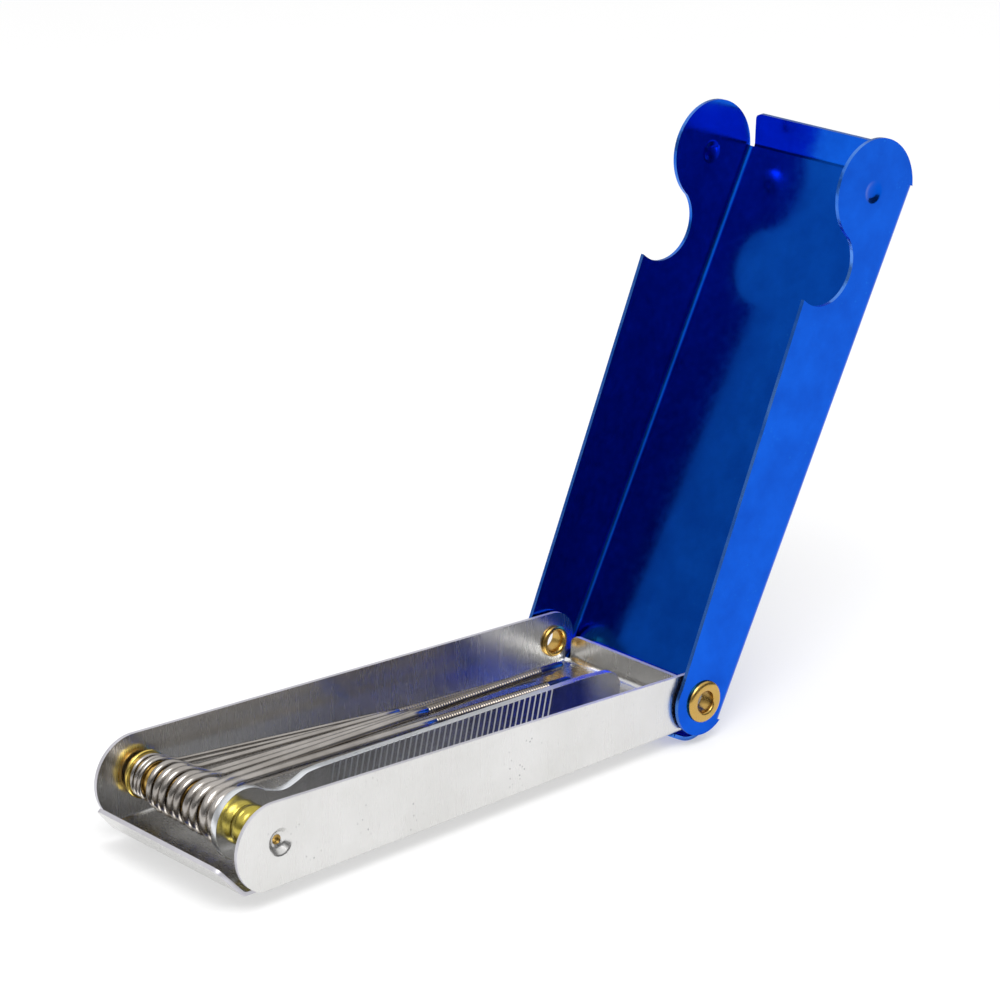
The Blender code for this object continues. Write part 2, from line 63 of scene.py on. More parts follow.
# Tray
TRAY_HALF = 13.4
TRAY_INNER = TRAY_HALF - SHEET
TRAY_FRONT_R = 5.4
TRAY_FRONT_X = PIN.x - 0.9
TRAY_REAR_R = 3.75
TRAY_REAR_X = HINGE.x - 0.3
TRAY_WALL_TOP = 12.0
TRAY_HOLE_R = 1.67
TRAY_CUT_REACH = 15
TRAY_BLANK_ENDS = (PIN.x - 8, HINGE.x + 5)
LIP_START = PIN.x - 4.0
LIP_CORNER = 0.9
LIP_ANGLE = 50.0
LIP_LENGTH = 4.3
LIP_BEND = 1.0
LIP_HALF = (12.1, 11.4)
FLANGE_HALF = 12.2
FLANGE_HEIGHT = 4.0
FLANGE_CORNER = 1.3
FLANGE_BEND = 1.25
FLANGE_START = HINGE.x + 1.35

# Profiles of the dimples at the pin's ends, as radius and height over the tray's inner and outer face
PIN_BOSS = ((1.95, OVERLAP), (1.95, 0.0), (1.8, -0.12), (1.32, -0.68), (1.15, -0.8))
PIN_HOLLOW = (
    (0.6, -2.3),
    (0.6, -0.86),
    (0.7, -0.8),
    (0.9, -0.76),
    (1.1, -0.62),
    (1.55, -0.16),
    (1.72, -0.05),
    (1.9, 0.0),
    (1.9, CUT_SPARE),
)

# Lid, drawn shut and with its plate level, from the hinge axis
LID_TILT = math.degrees(math.atan(0.0702))
LID_OPEN = 114.0
LID_INNER = TRAY_HALF + 0.35
LID_HALF = LID_INNER + SHEET
LID_PLATE_IN = 4.0
LID_PLATE_OUT = LID_PLATE_IN + SHEET
LID_PLATE_FRONT = -68.9
LID_PLATE_REAR = 1.6
LID_WALL_END = -9.5
LID_FREE_EDGE = -4.25
LID_FREE_EDGE_REAR = -0.9
LID_HOLE_R = 1.71
LID_CUT_REACH = 16
LID_BLANK_ENDS = (-74.0, 6.0)
EAR_R = 6.75
EAR_CENTRE = (-66.1, 2.55)
NOTCH_R = 5.05
NOTCH_CENTRE = (-55.5, -2.45)
HINGE_EAR_R = 4.4
HINGE_EAR_END = 68.7
TAB_HALF = (13.0, 12.5)
TAB_ANGLE = 33.0
TAB_BEND = 1.4
TAB_LENGTH = 3.9
TAB_CORNER = 0.8
TAIL_HALF = 12.5
TAIL_BEND = 3.7
TAIL_END = -1.5
TAIL_CORNER = 1.2

# Profiles of the snap dimples, as radius and height over the lid's inner and outer face
SNAP_BUMP = ((1.6, OVERLAP), (1.6, 0.0), (1.3, -0.07), (0.95, -0.22), (0.6, -0.28), (0.25, -0.3))
SNAP_DENT = ((0.25, -0.3), (0.6, -0.28), (0.95, -0.22), (1.3, -0.07), (1.6, 0.0), (1.6, CUT_SPARE))

# Hinge eyelets: flange over the lid's outer face and roll over the tray's inner face, with radius and height
EYELET_GAP = 0.03
EYELET_BARREL_R = 1.65
EYELET_FLANGE = (
    (1.35, 0.18),
    (1.42, 0.42),
    (1.72, 0.55),
    (2.15, 0.55),
    (2.5, 0.42),
    (2.69, 0.2),
    (2.66, 0.0),
)
EYELET_ROLL = (
    (1.65, 0.0),
    (2.06, 0.0),
    (2.1, -0.22),
    (1.95, -0.42),
    (1.7, -0.5),
    (1.48, -0.42),
    (1.35, -0.15),
)

# Pin's flared and dished end, as radius and height over its end, and the two sleeves as radius and place
PIN_HALF = 12.55
PIN_END = (
    (2.1, -0.5),
    (2.2, -0.36),
    (2.5, -0.26),
    (2.6, -0.15),
    (2.55, 0.0),
    (2.2, 0.0),
    (1.78, -0.1),
    (1.75, -0.4),
    (1.5, -0.5),
)
SLEEVE_BORE_R = 2.12
SLEEVE_NEAR = (
    (2.6, -11.9),
    (2.6, -10.6),
    (2.5, -10.0),
    (2.3, -9.35),
    (2.3, -9.1),
    (2.5, -8.8),
    (2.65, -8.35),
    (2.65, -7.9),
    (2.5, -7.4),
    (2.35, -7.22),
)
SLEEVE_FAR = ((2.7, 11.52), (3.0, 11.62), (3.0, 11.92), (2.7, 12.12))

# Flat file
FLAT_Y = (-7.15, -6.1)
FLAT_DROP = 1.5
EYE_R = 4.4
LOOP_BORE_R = 2.16
BLADE_TOP = 4.0
BLADE_BOTTOM = -0.8
BLADE_START = 10.0
BLADE_END = 58.2
NECK_TOP = 2.75
NECK_BOTTOM = -2.1
TEETH = 39
TEETH_START = 12.0
TEETH_PITCH = 0.9
TEETH_DEPTH = 0.17
TEETH_WIDTH = 0.5 * TEETH_PITCH
TEETH_RAKE = 0.12
TEETH_SLANT = 12.0
TIP_BEND = 0.45
TIP_BEND_START = BLADE_END - 5.5
TIP_BEND_RUN = 4.0

# Round files: wire diameter, middle of the loop, turns, sideways place and height of the shank at the
# pin, and the same of the tip
ROUND_FILES = (
    (1.40, -3.85, 2, -2.40, 2.85, 1.21, -1.71),
    (1.25, -0.50, 2, -0.90, 2.70, 2.67, -0.06),
    (1.10, 2.65, 2, 2.00, 2.15, 4.04, -1.13),
    (1.10, 5.40, 2, 4.40, 1.55, 5.30, -1.73),
    (0.95, 7.50, 1, 7.00, 1.45, 6.53, -2.31),
    (0.60, 10.02, 2, 9.60, 1.30, 7.56, -3.64),
    (0.56, 11.20, 1, 10.90, 1.30, 8.33, -3.83),
)
FILE_REACH = 58.0
SERRATION_START = 0.56
SERRATION_END = 0.92
SERRATION_PITCH = 0.42
SERRATION_DEPTH = 0.2
SINGLE_LOOP = 300.0
DOUBLE_LOOP = 510.0
COIL_GAP = 0.06
EXIT_TURN = 26.0
EXIT_REACH = 3.8
EXIT_PULL = 0.35
EXIT_STEPS = 16
TURN_STEPS = 60
WIRE_SIDES = 16
SERRATION_STATIONS = 6
PLAIN_TIP = 0.9
TIP_ROUND = 0.6

CIRCLE = 96

# Camera, from the tray's reference point
CAMERA_PLACE = Vector((-256.41, -300.05, 178.34))
CAMERA_AZIMUTH = -41.858
CAMERA_ELEVATION = 20.024
CAMERA_ROLL = -0.620
CAMERA_LENS = 128.65

# Studio: the room's light along Y near the horizon, the ceiling's light and where it sets in, and lamps
# by name, place, size and power in metres and watts
ROOM_ALONG_Y = (-0.8, 0.8)
ROOM_LIGHT = (0.10, 0.42)
CEILING_HEIGHT = (0.35, 0.62)
CEILING_LIGHT = 0.95
TABLE_GLOW = 0.46
FLOOR_REACH = 3.0
FLOOR_GAP = 0.00005
LAMPS = (("key", (-0.30, -0.40, 0.80), 0.5, 5.0),)


# ---------------------------------------------------------------- materials


def node(tree, kind, **values):
    made = tree.nodes.new(kind)
    for key, value in values.items():
        if key in made.inputs:
            made.inputs[key].default_value = value
        else:
            setattr(made, key, value)
    return made


def metal(
    name,
    colours,
    roughness,
    grain,
    bump,
    blotch=120.0,
    specks=0.0,
    speck_colour=(0.25, 0.25, 0.26),
    tone_and_reflection=(),
    metallic=1.0,
):
    """A metal whose colour drifts between two tones, with a drawn grain in its roughness and its relief.

    grain holds the noise scale along X, Y and Z; roughness the lowest and highest value. tone_and_reflection
    lists places along X, in metres from the origin, with the colour that the tones are multiplied by there;
    on the flat file's face it carries a painted reflection of the blue lid.
    """
    made = bpy.data.materials.new(name)
    made.use_nodes = True
    tree = made.node_tree
    shader = tree.nodes["Principled BSDF"]
    shader.inputs["Metallic"].default_value = metallic
    place = node(tree, "ShaderNodeTexCoord")
    link = tree.links.new

    wide = node(tree, "ShaderNodeTexNoise", Scale=blotch, Detail=4.0, Roughness=0.6)
    link(place.outputs["Object"], wide.inputs["Vector"])
    ramp = node(tree, "ShaderNodeValToRGB")
    ramp.color_ramp.elements[0].position = 0.32
    ramp.color_ramp.elements[0].color = (*colours[0], 1.0)
    ramp.color_ramp.elements[1].position = 0.68
    ramp.color_ramp.elements[1].color = (*colours[1], 1.0)
    link(wide.outputs["Fac"], ramp.inputs["Fac"])
    colour = ramp.outputs["Color"]

    if tone_and_reflection:
        split = node(tree, "ShaderNodeSeparateXYZ")
        link(place.outputs["Object"], split.inputs["Vector"])
        start, end = tone_and_reflection[0][0], tone_and_reflection[-1][0]
        reach = node(tree, "ShaderNodeMapRange")
        reach.inputs["From Min"].default_value = start
        reach.inputs["From Max"].default_value = end
        link(split.outputs["X"], reach.inputs["Value"])
        along = node(tree, "ShaderNodeValToRGB")
        stops = along.color_ramp.elements
        stops[0].color = (*tone_and_reflection[0][1], 1.0)
        stops[1].color = (*tone_and_reflection[-1][1], 1.0)
        for x, shade in tone_and_reflection[1:-1]:
            stops.new((x - start) / (end - start)).color = (*shade, 1.0)
        link(reach.outputs["Result"], along.inputs["Fac"])
        both = node(tree, "ShaderNodeMix", data_type="RGBA", blend_type="MULTIPLY")
        both.inputs["Factor"].default_value = 1.0
        link(colour, both.inputs["A"])
        link(along.outputs["Color"], both.inputs["B"])
        colour = both.outputs["Result"]

    stretch = node(tree, "ShaderNodeMapping", Scale=grain)
    link(place.outputs["Object"], stretch.inputs["Vector"])
    fine = node(tree, "ShaderNodeTexNoise", Scale=1.0, Detail=5.0, Roughness=0.65)
    link(stretch.outputs["Vector"], fine.inputs["Vector"])
    rough = node(tree, "ShaderNodeMapRange")
    rough.inputs["From Min"].default_value = 0.3
    rough.inputs["From Max"].default_value = 0.7
    rough.inputs["To Min"].default_value = roughness[0]
    rough.inputs["To Max"].default_value = roughness[1]
    link(fine.outputs["Fac"], rough.inputs["Value"])
    link(rough.outputs["Result"], shader.inputs["Roughness"])

    if specks:
        cells = node(tree, "ShaderNodeTexVoronoi", Scale=1400.0, Randomness=1.0)
        link(place.outputs["Object"], cells.inputs["Vector"])
        near = node(tree, "ShaderNodeMath", operation="LESS_THAN")
        near.inputs[1].default_value = 0.16
        link(cells.outputs["Distance"], near.inputs[0])
        patch = node(tree, "ShaderNodeTexNoise", Scale=260.0, Detail=2.0)
        link(place.outputs["Object"], patch.inputs["Vector"])
        where = node(tree, "ShaderNodeMapRange")
        where.inputs["From Min"].default_value = 0.56
        where.inputs["From Max"].default_value = 0.66
        where.inputs["To Max"].default_value = specks
        link(patch.outputs["Fac"], where.inputs["Value"])
        amount = node(tree, "ShaderNodeMath", operation="MULTIPLY")
        link(near.outputs["Value"], amount.inputs[0])
        link(where.outputs["Result"], amount.inputs[1])
        mix = node(tree, "ShaderNodeMix", data_type="RGBA")
        link(amount.outputs["Value"], mix.inputs["Factor"])
        link(colour, mix.inputs["A"])
        mix.inputs["B"].default_value = (*speck_colour, 1.0)
        colour = mix.outputs["Result"]
    link(colour, shader.inputs["Base Color"])

    relief = node(tree, "ShaderNodeBump", Strength=bump, Distance=0.00002)
    link(fine.outputs["Fac"], relief.inputs["Height"])
    link(relief.outputs["Normal"], shader.inputs["Normal"])
    made.diffuse_color = (*colours[1], 1.0)
    return made


def floor_surface():
    made = bpy.data.materials.new("pale_floor")
    made.use_nodes = True
    tree = made.node_tree
    shader = tree.nodes["Principled BSDF"]
    shader.inputs["Roughness"].default_value = 0.75
    shader.inputs["Specular IOR Level"].default_value = 0.15
    shader.inputs["Emission Color"].default_value = (1.0, 1.0, 1.0, 1.0)
    shader.inputs["Emission Strength"].default_value = TABLE_GLOW
    place = node(tree, "ShaderNodeTexCoord")
    cloud = node(tree, "ShaderNodeTexNoise", Scale=14.0, Detail=3.0)
    tree.links.new(place.outputs["Object"], cloud.inputs["Vector"])
    ramp = node(tree, "ShaderNodeValToRGB")
    ramp.color_ramp.elements[0].color = (0.53, 0.53, 0.53, 1.0)
    ramp.color_ramp.elements[1].color = (0.55, 0.55, 0.55, 1.0)
    tree.links.new(cloud.outputs["Fac"], ramp.inputs["Fac"])
    tree.links.new(ramp.outputs["Color"], shader.inputs["Base Color"])
    return made


# ---------------------------------------------------------------- mesh code


def arc(centre, radius, start, end, steps):
    """Points on an arc in degrees, both ends included."""
    points = []
    for i in range(steps + 1):
        angle = math.radians(start + (end - start) * i / steps)
        points.append((centre[0] + radius * math.cos(angle), centre[1] + radius * math.sin(angle)))
    return points


def extruded(face_points, shift, index=0):
    out = bmesh.new()
    base = [out.verts.new(p) for p in face_points]
    face = out.faces.new(base)
    grown = bmesh.ops.extrude_face_region(out, geom=[face])
    moved = [item for item in grown["geom"] if isinstance(item, bmesh.types.BMVert)]
    bmesh.ops.translate(out, verts=moved, vec=shift)
    for face in out.faces:
        face.material_index = index
    return out


def prism(outline, low, high, index=0):
    return extruded([(x, low, z) for x, z in outline], (0, high - low, 0), index)


def channel(half, low, high, wall_end, start, end, fold):
    """A U section between Z low and high, with walls that run to Z wall_end and an outer fold radius."""
    up = 1 if wall_end > high else -1
    outer = low if up > 0 else high
    corner = (half - fold, outer + up * fold)
    section = [(half, wall_end)]
    section += arc(corner, fold, 0, -90 * up, FOLD_STEPS)
    section += [(-y, z) for y, z in arc(corner, fold, -90 * up, 0, FOLD_STEPS)]
    section += [(-half, wall_end), (-half + SHEET, wall_end)]
    section += [(-y, z) for y, z in arc(corner, fold - SHEET, 0, -90 * up, FOLD_STEPS)]
    section += arc(corner, fold - SHEET, -90 * up, 0, FOLD_STEPS)
    section += [(half - SHEET, wall_end)]
    return extruded([(start, y, z) for y, z in section], (end - start, 0, 0))


def bent_strip(path, widths):
    """A sheet strip along an XZ centre line; its cut edges take the second material."""
    out = bmesh.new()
    rings = []
    for i, (x, z) in enumerate(path):
        before = Vector(path[max(i - 1, 0)])
        after = Vector(path[min(i + 1, len(path) - 1)])
        along = (after - before).normalized()
        normal = Vector((-along.y, along.x)) * SHEET / 2
        half = widths[i]
        corners = (
            (x - normal.x, -half, z - normal.y),
            (x + normal.x, -half, z + normal.y),
            (x + normal.x, half, z + normal.y),
            (x - normal.x, half, z - normal.y),
        )
        rings.append([out.verts.new(c) for c in corners])
    for one, two in zip(rings, rings[1:]):
        for k in range(4):
            face = out.faces.new((one[k], one[(k + 1) % 4], two[(k + 1) % 4], two[k]))
            face.material_index = 1 if k in (0, 2) else 0
    for ring in (rings[0], rings[-1]):
        out.faces.new(ring).material_index = 1
    return out


def turned(profile, segments=CIRCLE, closed=False, centre=(0.0, 0.0)):
    """A solid or a closed ring turned about a line along Y through centre, from (radius, y) pairs."""
    out = bmesh.new()
    rings = []
    for radius, y in profile:
        ring = []
        for i in range(segments):
            angle = 2 * math.pi * i / segments
            ring.append(
                out.verts.new((centre[0] + radius * math.cos(angle), y, centre[1] + radius * math.sin(angle)))
            )
        rings.append(ring)
    pairs = list(zip(rings, rings[1:]))
    if closed:
        pairs.append((rings[-1], rings[0]))
    for one, two in pairs:
        for i in range(segments):
            j = (i + 1) % segments
            out.faces.new((one[i], one[j], two[j], two[i]))
    if not closed:
        out.faces.new(rings[0])
        out.faces.new(rings[-1])
    return out


def mesh_from(bm, surfaces):
    bmesh.ops.recalc_face_normals(bm, faces=bm.faces)
    mesh = bpy.data.meshes.new("mesh")
    bm.to_mesh(mesh)
    bm.free()
    for surface in surfaces:
        mesh.materials.append(surface)
    return mesh


def temporary(bm, surfaces):
    made = bpy.data.objects.new("temporary", mesh_from(bm, surfaces))
    bpy.context.scene.collection.objects.link(made)
    return made


def combined(start, steps, surfaces):
    """The mesh that start becomes after each (bmesh, operation) step; "BEVEL" steps carry a width."""
    base = temporary(start, surfaces)
    tools = []
    for what, operation in steps:
        if operation == "BEVEL":
            step = base.modifiers.new("bevel", "BEVEL")
            step.width = what
            step.segments = 2
            step.limit_method = "ANGLE"
            step.angle_limit = math.radians(35)
            step.miter_outer = "MITER_ARC"
            continue
        tool = temporary(what, surfaces)
        step = base.modifiers.new("cut", "BOOLEAN")
        step.operation = operation
        step.solver = "EXACT"
        step.object = tool
        tools.append(tool)
    graph = bpy.context.evaluated_depsgraph_get()
    mesh = bpy.data.meshes.new_from_object(base.evaluated_get(graph), depsgraph=graph)
    for used in tools + [base]:
        old = used.data
        bpy.data.objects.remove(used)
        bpy.data.meshes.remove(old)
    return mesh


def finished(name, mesh, place, nodes, body, sharp=40.0, weighted=True):
    """Makes the shown piece from a mesh in millimetres, and ties it to the frame."""
    mesh.name = name
    mesh.transform(Matrix.Translation(CASE * MM) @ Matrix.Scale(MM, 4) @ place)
    mesh.shade_smooth()
    mesh.set_sharp_from_angle(angle=math.radians(sharp))
    made = bpy.data.objects.new(name, mesh)
    bpy.context.scene.collection.objects.link(made)
    if weighted:
        step = made.modifiers.new("weighted_normals", "WEIGHTED_NORMAL")
        step.keep_sharp = True
        step.weight = 60
    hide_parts(*nodes)
    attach(made, body)
    return made


def at(point, turn=0.0):
    return Matrix.Translation(point) @ Matrix.Rotation(math.radians(turn), 4, "Y")


def tapered(before, count, widths, corner, spacing):
    """Half widths along a strip: constant, then narrowing evenly, then rounded off at the free end."""
    base, top = widths
    out = []
    for i in range(count):
        after = max(i - before + 1, 0) / max(count - before, 1)
        half = base + (top - base) * after
        left = (count - 1 - i) * spacing
        if left < corner:
            reach = (corner - left) / corner
            half -= corner * (1 - math.sqrt(max(1 - reach * reach, 0.0)))
        out.append(half)
    return out


# ---------------------------------------------------------------- pieces


def raised(profile, sign, face):
    """A profile of (radius, height over a wall's face) as (radius, y) on the near or far side."""
    return [(radius, sign * (face + height)) for radius, height in profile]


def hole_through(radius, sign, inner, outer, centre=(0.0, 0.0), segments=64):
    """A cutter for a round hole in a wall between its inner and outer face."""
    ends = [(radius, sign * (inner - CUT_SPARE)), (radius, sign * (outer + CUT_SPARE))]
    return turned(ends, segments, centre=centre)


def build_tray(surfaces):
    front = (TRAY_FRONT_X, TRAY_FRONT_R)
    rear = (TRAY_REAR_X, TRAY_REAR_R)
    outline = arc(rear, TRAY_REAR_R, -90, 90, 56) + arc(front, TRAY_FRONT_R, 90, 270, 72)
    steps = [(prism(outline, -TRAY_CUT_REACH, TRAY_CUT_REACH, 1), "INTERSECT")]

    middle = SHEET / 2
    bend = (LIP_START, middle + LIP_BEND)
    path = [(PIN.x, middle), (LIP_START + 0.6, middle)] + arc(bend, LIP_BEND, 270, 270 - LIP_ANGLE, 10)
    before = len(path)
    run = math.radians(LIP_ANGLE)
    count = 18
    last = path[-1]
    for i in range(1, count + 1):
        reach = LIP_LENGTH * i / count
        path.append((last[0] - reach * math.cos(run), last[1] + reach * math.sin(run)))
    widths = tapered(before, len(path), LIP_HALF, LIP_CORNER, LIP_LENGTH / count)
    steps.append((bent_strip(path, widths), "UNION"))

    bend = (FLANGE_START, middle + FLANGE_BEND)
    path = [(HINGE.x - 4, middle)] + arc(bend, FLANGE_BEND, 270, 360, 12)
    x = path[-1][0]
    before = len(path)
    count = 16
    low = path[-1][1]
    for i in range(1, count + 1):
        path.append((x, low + (FLANGE_HEIGHT - low) * i / count))
    rise = (FLANGE_HEIGHT - low) / count
    widths = tapered(before, len(path), (FLANGE_HALF, FLANGE_HALF), FLANGE_CORNER, rise)
    steps.append((bent_strip(path, widths), "UNION"))
    steps.append((EDGE_BEVEL, "BEVEL"))

    pin = (PIN.x, PIN.z)
    for sign in (-1, 1):
        boss = turned(raised(PIN_BOSS, sign, TRAY_INNER), 48, centre=pin)
        steps.append((boss, "UNION"))
        hollow = turned(raised(PIN_HOLLOW, sign, TRAY_HALF), 48, centre=pin)
        steps.append((hollow, "DIFFERENCE"))
        hole = hole_through(TRAY_HOLE_R, sign, TRAY_INNER, TRAY_HALF, (HINGE.x, HINGE.z))
        steps.append((hole, "DIFFERENCE"))
    blank = channel(TRAY_HALF, 0, SHEET, TRAY_WALL_TOP, *TRAY_BLANK_ENDS, TRAY_FOLD)
    mesh = combined(blank, steps, surfaces)
    return finished("tray_shell", mesh, Matrix.Identity(4), ["tray"], "case")


def level(point):
    """Turns a point of the shut lid, taken from the hinge axis, so that the plate is level."""
    tilt = math.radians(LID_TILT)
    x, z = point
    return (x * math.cos(tilt) - z * math.sin(tilt), x * math.sin(tilt) + z * math.cos(tilt))


def angle_of(centre, point):
    return math.degrees(math.atan2(point[1] - centre[1], point[0] - centre[0]))


def lid_outline():
    """Side view of the lid: front ears, thumb notches, free edge and hinge ears."""
    ear = level(EAR_CENTRE)
    notch = level(NOTCH_CENTRE)
    edge_rear = level((LID_FREE_EDGE_REAR, LID_FREE_EDGE))
    start = math.degrees(math.acos((LID_PLATE_FRONT - ear[0]) / EAR_R))
    apart = math.dist(ear, notch)
    along = (EAR_R**2 - NOTCH_R**2 + apart**2) / (2 * apart)
    half_chord = math.sqrt(max(EAR_R**2 - along**2, 0.0))
    way = ((notch[0] - ear[0]) / apart, (notch[1] - ear[1]) / apart)
    meet = (ear[0] + way[0] * along - way[1] * half_chord, ear[1] + way[1] * along + way[0] * half_chord)
    drop = notch[1] - level((NOTCH_CENTRE[0] + NOTCH_R, LID_FREE_EDGE))[1]
    tip = (notch[0] + math.sqrt(NOTCH_R**2 - drop**2), notch[1] - drop)
    points = [(LID_PLATE_FRONT, LID_PLATE_OUT + 0.4)]
    points += arc(ear, EAR_R, start, 360 + angle_of(ear, meet), 80)
    points += arc(notch, NOTCH_R, angle_of(notch, meet), angle_of(notch, tip), 48)[1:]
    points += arc((0, 0), HINGE_EAR_R, angle_of((0, 0), edge_rear), HINGE_EAR_END, 48)
    points += [(LID_PLATE_REAR, LID_PLATE_OUT + 0.4)]
    return points


def build_lid(surfaces):
    steps = []
    top = LID_PLATE_IN + 0.2
    spans = (
        (LID_BLANK_ENDS[0], LID_PLATE_FRONT + 0.02),
        (LID_PLATE_REAR - 0.02, LID_BLANK_ENDS[1]),
    )
    for sign in (-1, 1):
        for low, high in spans:
            slab = [(low, LID_WALL_END), (high, LID_WALL_END), (high, top), (low, top)]
            ends = sorted((sign * LID_INNER, sign * LID_HALF))
            steps.append((prism(slab, *ends), "UNION"))
    steps.append((prism(lid_outline(), -LID_CUT_REACH, LID_CUT_REACH, 1), "INTERSECT"))

    middle = (LID_PLATE_IN + LID_PLATE_OUT) / 2
    bend = (LID_PLATE_FRONT, middle - TAB_BEND)
    path = [(LID_PLATE_FRONT + 4, middle)] + arc(bend, TAB_BEND, 90, 90 + TAB_ANGLE, 10)
    before = len(path)
    run = math.radians(TAB_ANGLE)
    count = 16
    last = path[-1]
    for i in range(1, count + 1):
        reach = TAB_LENGTH * i / count
        path.append((last[0] - reach * math.cos(run), last[1] - reach * math.sin(run)))
    widths = tapered(before, len(path), TAB_HALF, TAB_CORNER, TAB_LENGTH / count)
    steps.append((bent_strip(path, widths), "UNION"))

    bend = (LID_PLATE_REAR, middle - TAIL_BEND)
    path = [(LID_PLATE_REAR - 4, middle)] + arc(bend, TAIL_BEND, 90, 0, 24)
    x, low = path[-1]
    before = len(path)
    count = 14
    for i in range(1, count + 1):
        path.append((x, low + (TAIL_END - low) * i / count))
    widths = tapered(before, len(path), (TAIL_HALF, TAIL_HALF), TAIL_CORNER, (low - TAIL_END) / count)
    steps.append((bent_strip(path, widths), "UNION"))
    steps.append((EDGE_BEVEL, "BEVEL"))

    snap = level((PIN.x - HINGE.x, PIN.z - HINGE.z))
    for sign in (-1, 1):
        hole = hole_through(LID_HOLE_R, sign, LID_INNER, LID_HALF)
        steps.append((hole, "DIFFERENCE"))
        bump = turned(raised(SNAP_BUMP, sign, LID_INNER), 40, centre=snap)
        steps.append((bump, "UNION"))
        dent = turned(raised(SNAP_DENT, sign, LID_HALF), 40, centre=snap)
        steps.append((dent, "DIFFERENCE"))
    ends = (LID_PLATE_FRONT, LID_PLATE_REAR)
    blank = channel(LID_HALF, LID_PLATE_IN, LID_PLATE_OUT, LID_WALL_END, *ends, LID_FOLD)
    mesh = combined(blank, steps, surfaces)
    return finished("lid_shell", mesh, at(HINGE, LID_OPEN + LID_TILT), ["lid"], "lid")


def rounded(points, passes=2):
    """Corner-cut smoothing of an open list of points, with the ends kept."""
    for _ in range(passes):
        out = [points[0]]
        for a, b in zip(points, points[1:]):
            out.append((a[0] * 0.75 + b[0] * 0.25, a[1] * 0.75 + b[1] * 0.25))
            out.append((a[0] * 0.25 + b[0] * 0.75, a[1] * 0.25 + b[1] * 0.75))
        out.append(points[-1])
        points = out
    return points


def build_eyelet(name, sign, surface):
    outside = LID_HALF + EYELET_GAP
    inside = TRAY_INNER - EYELET_GAP
    flange = rounded(raised(EYELET_FLANGE, sign, outside))
    roll = rounded(raised(EYELET_ROLL, sign, inside))
    profile = flange + [(EYELET_BARREL_R, sign * outside)] + roll
    mesh = mesh_from(turned(profile, closed=True), [surface])
    return finished(f"{name}_ring", mesh, at(HINGE), [name], "case", 50, False)


def build_pin(surface):
    near = rounded(raised(PIN_END, -1, PIN_HALF))
    far = rounded(raised(PIN_END, 1, PIN_HALF))
    mesh = mesh_from(turned(near[::-1] + far), [surface])
    return finished("pin_rod", mesh, at(PIN), ["pin"], "case", 50, False)


def build_sleeve(name, lumps, surface):
    lumps = rounded(list(lumps))
    profile = [(SLEEVE_BORE_R, lumps[0][1])] + lumps + [(SLEEVE_BORE_R, lumps[-1][1])]
    mesh = mesh_from(turned(profile, closed=True), [surface])
    return finished(f"{name}_brass", mesh, at(PIN), [name], "case", 50, False)


def flat_outline():
    """Side view of the flat file from the pin axis: eye, neck and blade with a round tip."""
    dip_x = math.sqrt(EYE_R**2 - NECK_TOP**2)
    top_angle = angle_of((0, 0), (dip_x - 0.7, NECK_TOP + 0.55))
    bottom_x = math.sqrt(EYE_R**2 - NECK_BOTTOM**2)
    tip_r = (BLADE_TOP - BLADE_BOTTOM) / 2
    tip = (BLADE_END - tip_r, (BLADE_TOP + BLADE_BOTTOM) / 2)
    points = arc((0, 0), EYE_R, top_angle, 360 + angle_of((0, 0), (bottom_x, NECK_BOTTOM)), 72)
    under = [points[-1], (6.2, NECK_BOTTOM + 0.1), (8.6, BLADE_BOTTOM - 0.25), (BLADE_START, BLADE_BOTTOM)]
    over = [(BLADE_START + 1, BLADE_TOP), (8.9, BLADE_TOP - 0.12), (7.9, BLADE_TOP - 0.6)]
    over += [(7.1, NECK_TOP + 0.35), (6.2, NECK_TOP + 0.04), (5.2, NECK_TOP - 0.02), (4.3, NECK_TOP + 0.18)]
    over += [points[0]]
    points += rounded(under)[1:-1]
    count = 10
    for i in range(count):
        points.append((BLADE_START + (tip[0] - 3 - BLADE_START) * i / count, BLADE_BOTTOM))
    for i in range(6):
        points.append((tip[0] - 3 + i * 0.6, BLADE_BOTTOM))
    points += arc(tip, tip_r, -90, 90, 40)
    for i in range(6):
        points.append((tip[0] - 0.6 * (i + 1), BLADE_TOP))
    points += rounded(over)[:-1]
    return points


def build_flat_file(surfaces):
    near, far = FLAT_Y
    grooves = bmesh.new()
    lean = math.tan(math.radians(TEETH_SLANT))
    for i in range(TEETH):
        x = TEETH_START + i * TEETH_PITCH
        section = ((x, near + TEETH_DEPTH), (x + TEETH_WIDTH, near - 0.2), (x - TEETH_RAKE, near - 0.2))
        ends = []
        for z in (BLADE_BOTTOM - 0.5, BLADE_TOP + 0.5):
            ends.append([grooves.verts.new((px + z * lean, py, z)) for px, py in section])
        for end in ends:
            grooves.faces.new(end)
        for k in range(3):
            j = (k + 1) % 3
            grooves.faces.new((ends[0][k], ends[0][j], ends[1][j], ends[1][k]))
    for face in grooves.faces:
        face.material_index = 1
    hole = hole_through(LOOP_BORE_R, 1, near, far)
    steps = [(hole, "DIFFERENCE"), (SMALL_BEVEL, "BEVEL"), (grooves, "DIFFERENCE")]
    mesh = combined(prism(flat_outline(), near, far), steps, surfaces)
    for polygon in mesh.polygons:
        if polygon.material_index == 0 and abs(polygon.normal.y) < 0.9:
            polygon.material_index = 2
    for vertex in mesh.vertices:
        reach = min(max((vertex.co.x - TIP_BEND_START) / TIP_BEND_RUN, 0.0), 1.0)
        vertex.co.y -= TIP_BEND * reach * reach * (3 - 2 * reach)
    return finished("flat_file_blade", mesh, at(PIN, FLAT_DROP), ["flat_file"], "flat_file")


